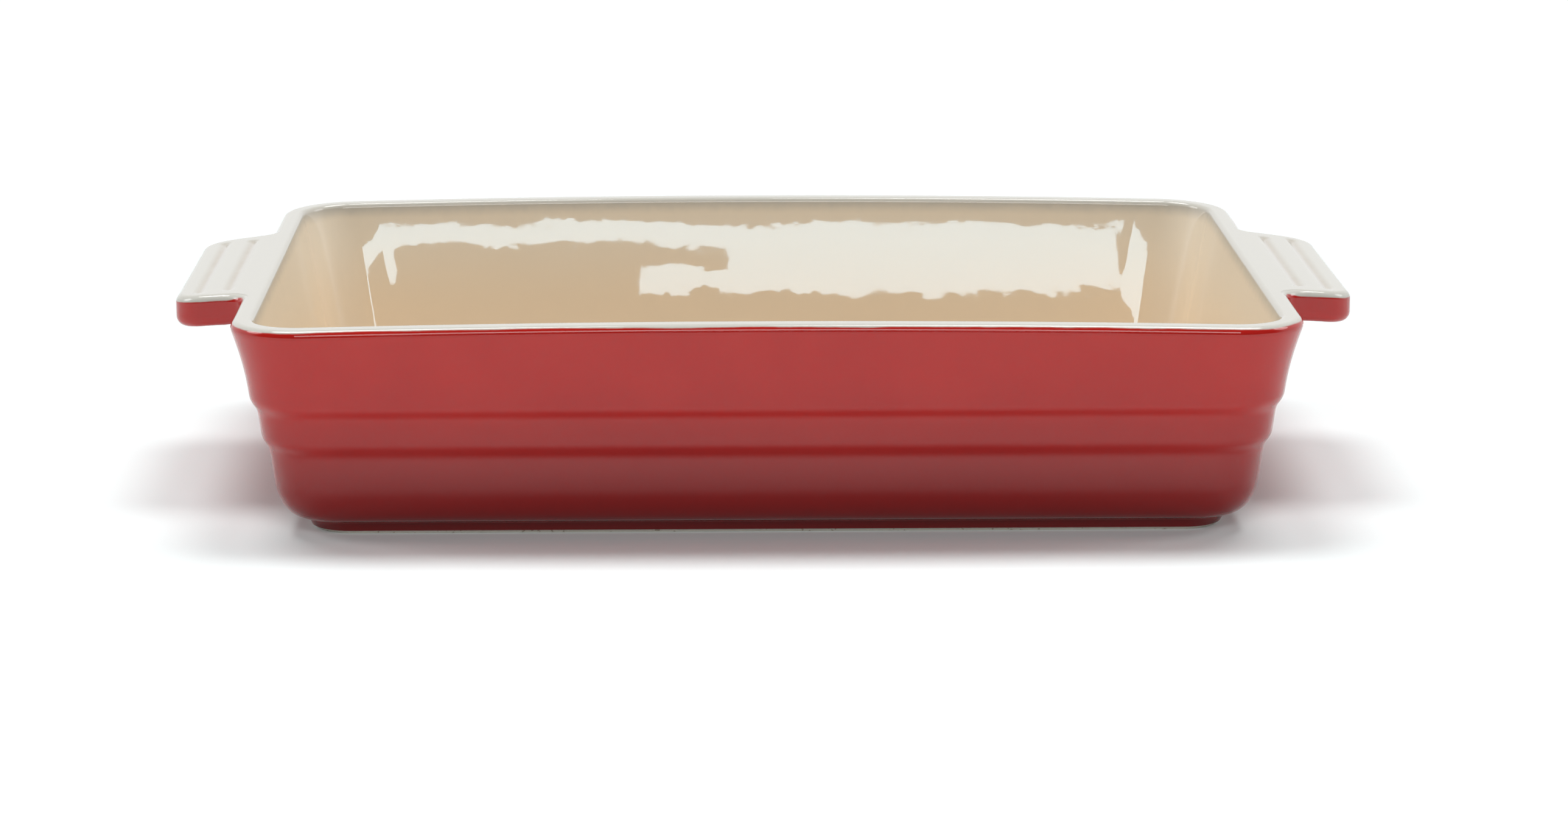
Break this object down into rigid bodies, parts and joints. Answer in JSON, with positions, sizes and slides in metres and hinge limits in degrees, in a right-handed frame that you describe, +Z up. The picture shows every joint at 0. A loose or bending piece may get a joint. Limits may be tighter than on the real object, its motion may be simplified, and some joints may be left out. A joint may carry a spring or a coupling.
{
  "type": "oven dish",
  "caption": "Oblong glazed stoneware oven dish with leaning stepped walls, a crowned rim, two flat lug handles and a bare foot ring.",
  "frame": {"origin": "on the table, under the middle of the dish: the centre of its bounding box in plan, at the level of the foot", "axes": "+X along the dish through its two lug handles, +Y across it, +Z up out of the open top"},
  "size_m": [0.381, 0.2368, 0.0715],
  "materials": {
    "bare_stoneware": "fired clay, unglazed, matte and slightly sandy",
    "cream_glaze": "glossy cream glaze, beige where it lies thick on the inner walls",
    "red_glaze": "glossy deep red glaze"
  },
  "bodies": {
    "root": {"stoneware_body": "bare_stoneware", "inner_glaze": "cream_glaze", "outer_glaze": "red_glaze", "base_glaze": "red_glaze"}
  },
  "joints": []
}
